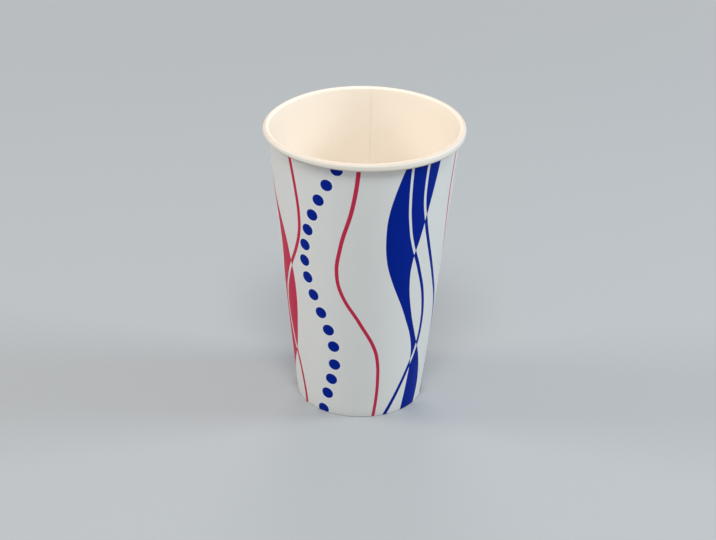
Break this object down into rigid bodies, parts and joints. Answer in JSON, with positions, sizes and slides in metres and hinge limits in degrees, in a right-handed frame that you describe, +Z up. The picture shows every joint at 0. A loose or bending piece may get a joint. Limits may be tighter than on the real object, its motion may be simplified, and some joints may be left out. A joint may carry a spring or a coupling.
{
  "type": "paper cup",
  "caption": "Tall tapered paper cup with a rolled rim, a lapped side seam and a raised floor, printed with flowing stripes and a wandering row of dots.",
  "frame": {"origin": "centre of the foot ring, on the surface the cup stands on", "axes": "+Z up along the cup's axis; -Y is the front; the side seam is at the back, with its outer cut edge 189 degrees from -Y towards +X"},
  "size_m": [0.09, 0.09, 0.133],
  "materials": {
    "printed_board": "satin coated board, printed outside",
    "plain_board": "satin coated board, unprinted"
  },
  "bodies": {
    "root": {"side_wall": "printed_board", "bottom_disc": "plain_board"}
  },
  "joints": []
}
